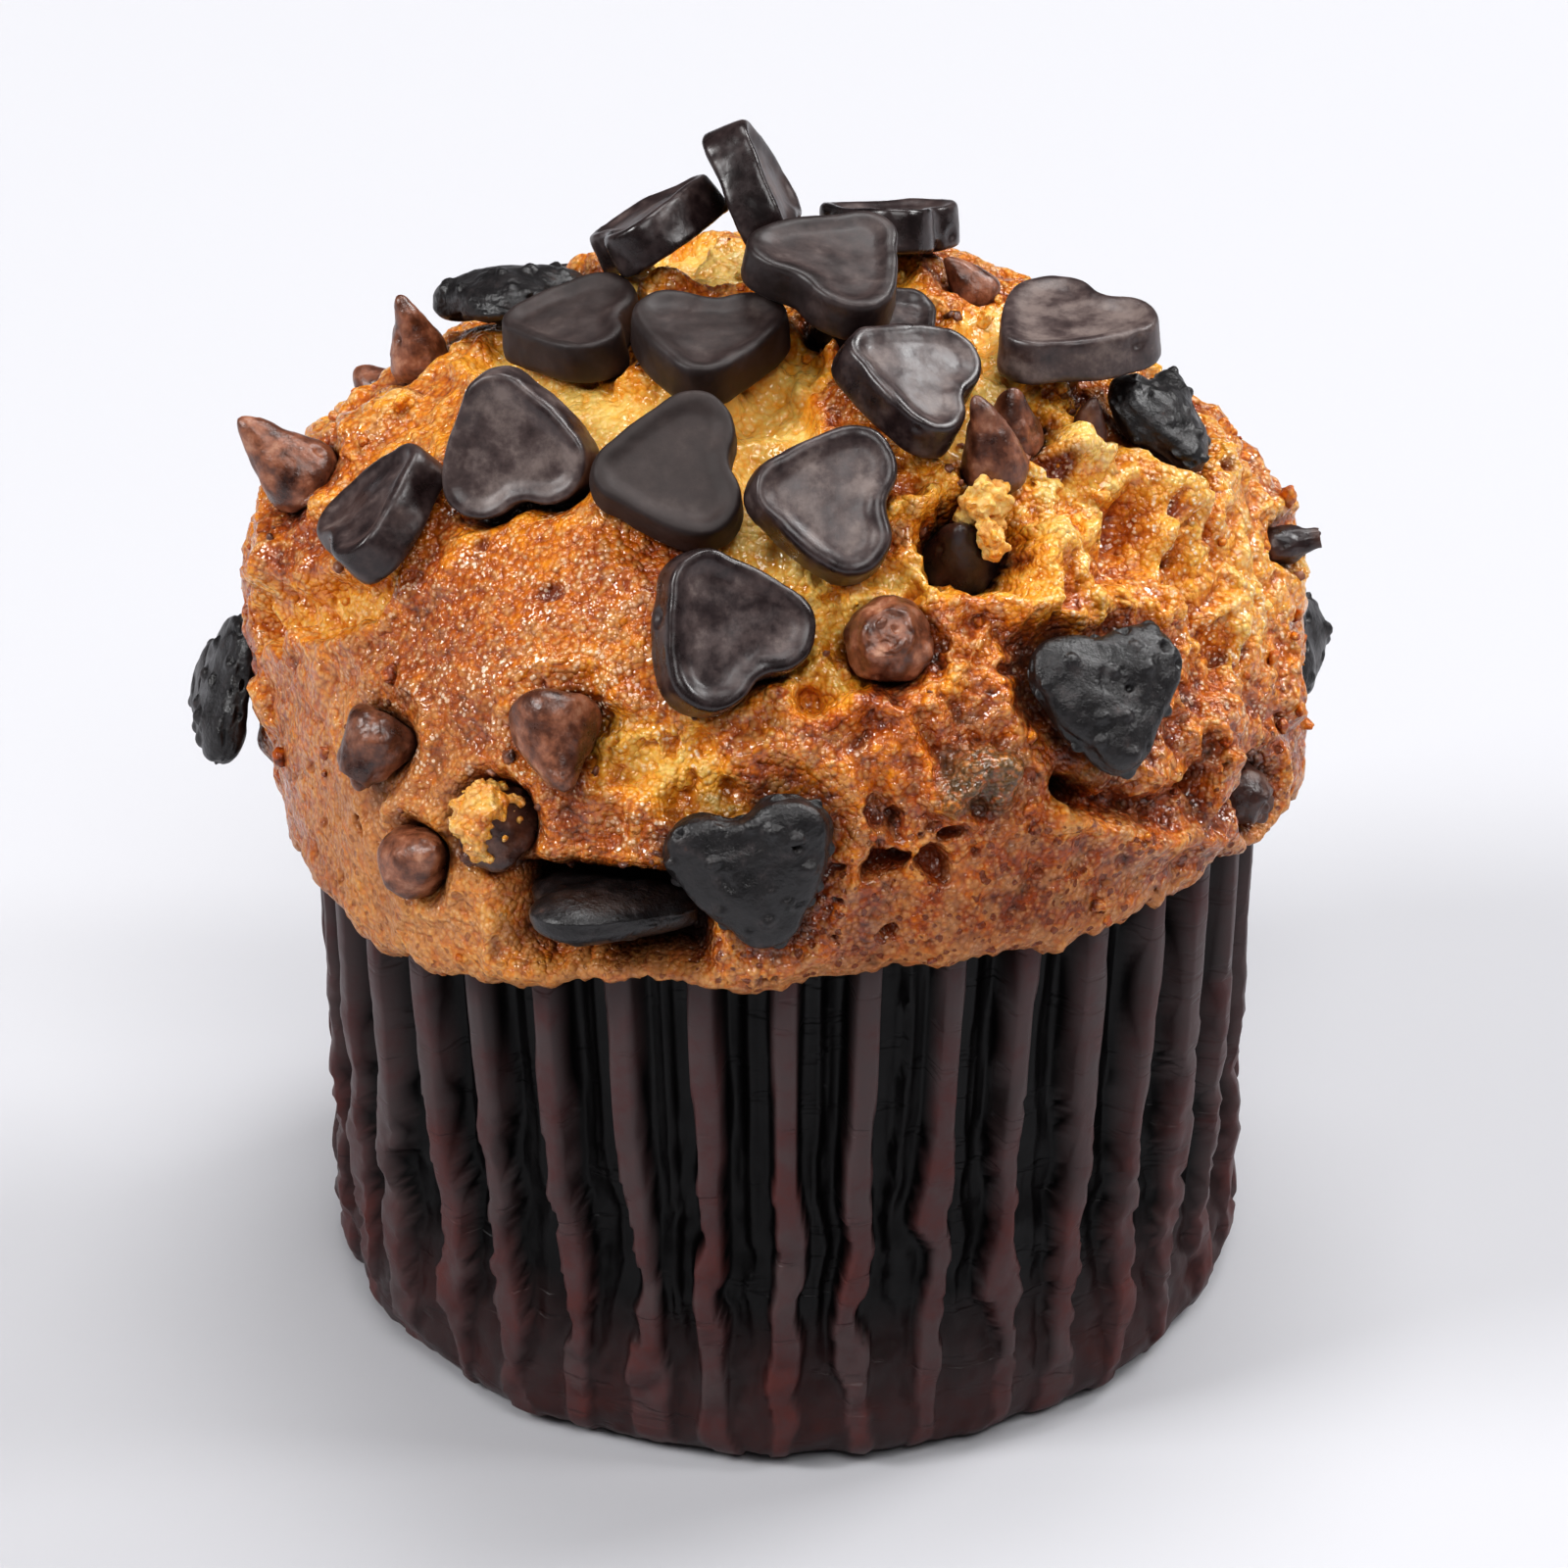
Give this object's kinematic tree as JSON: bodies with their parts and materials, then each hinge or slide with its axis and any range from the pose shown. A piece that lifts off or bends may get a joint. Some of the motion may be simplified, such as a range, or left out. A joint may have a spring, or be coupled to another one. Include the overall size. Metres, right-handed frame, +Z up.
{
  "type": "chocolate chip muffin",
  "caption": "Tall domed muffin in a dark pleated paper case, topped with heart-shaped chocolate pieces and half-sunk chocolate drops.",
  "frame": {"origin": "centre of the case's flat base, on the surface the muffin stands on", "axes": "+Z up through the dome, -Y towards the shown front, +X to the right seen from the front"},
  "size_m": [0.0847, 0.0803, 0.0853],
  "materials": {
    "paper": "dark brown greaseproof paper, pleated, semi-matt",
    "crust": "golden to brown baked crust with yellow crumb in its cracks",
    "dark_chocolate": "satin moulded dark chocolate with a faint bloom",
    "baked_chocolate": "wrinkled, nearly black chocolate that went through the oven",
    "milk_chocolate": "milk chocolate with a mottled bloom"
  },
  "bodies": {
    "root": {"paper_case": "paper", "muffin": "crust", "heart_top_upright": "dark_chocolate", "heart_top_leaning": "dark_chocolate", "heart_top_rear": "dark_chocolate", "heart_top_flat": "dark_chocolate", "heart_top_under": "dark_chocolate", "heart_left_crown": "dark_chocolate", "heart_mid_crown": "dark_chocolate", "heart_right_far": "dark_chocolate", "heart_right_near": "dark_chocolate", "heart_left_face": "dark_chocolate", "heart_mid_face": "dark_chocolate", "heart_right_face": "dark_chocolate", "heart_left_side": "dark_chocolate", "heart_front_face": "dark_chocolate", "heart_back_high": "dark_chocolate", "heart_back_left": "dark_chocolate", "heart_back_right": "dark_chocolate", "heart_back_mid": "dark_chocolate", "baked_heart_left": "baked_chocolate", "baked_heart_front": "baked_chocolate", "baked_heart_right": "baked_chocolate", "baked_heart_side": "baked_chocolate", "baked_heart_rear": "baked_chocolate", "baked_heart_low": "baked_chocolate", "baked_heart_crown": "baked_chocolate", "baked_heart_back_left": "baked_chocolate", "baked_heart_back_right": "baked_chocolate", "drop_upper_left": "milk_chocolate", "drop_left": "milk_chocolate", "drop_front_left": "milk_chocolate", "drop_front": "milk_chocolate", "drop_low_left": "milk_chocolate", "drop_crumbed": "milk_chocolate", "drop_blunt": "milk_chocolate", "drop_in_hollow": "milk_chocolate", "drop_right_crown": "milk_chocolate", "drop_far_crown": "milk_chocolate", "drop_right_small": "milk_chocolate", "drop_right_side": "milk_chocolate", "drop_right_edge": "milk_chocolate", "drop_back_crown": "milk_chocolate", "drop_back_mid": "milk_chocolate", "drop_back_right": "milk_chocolate", "drop_back_left": "milk_chocolate"}
  },
  "joints": []
}
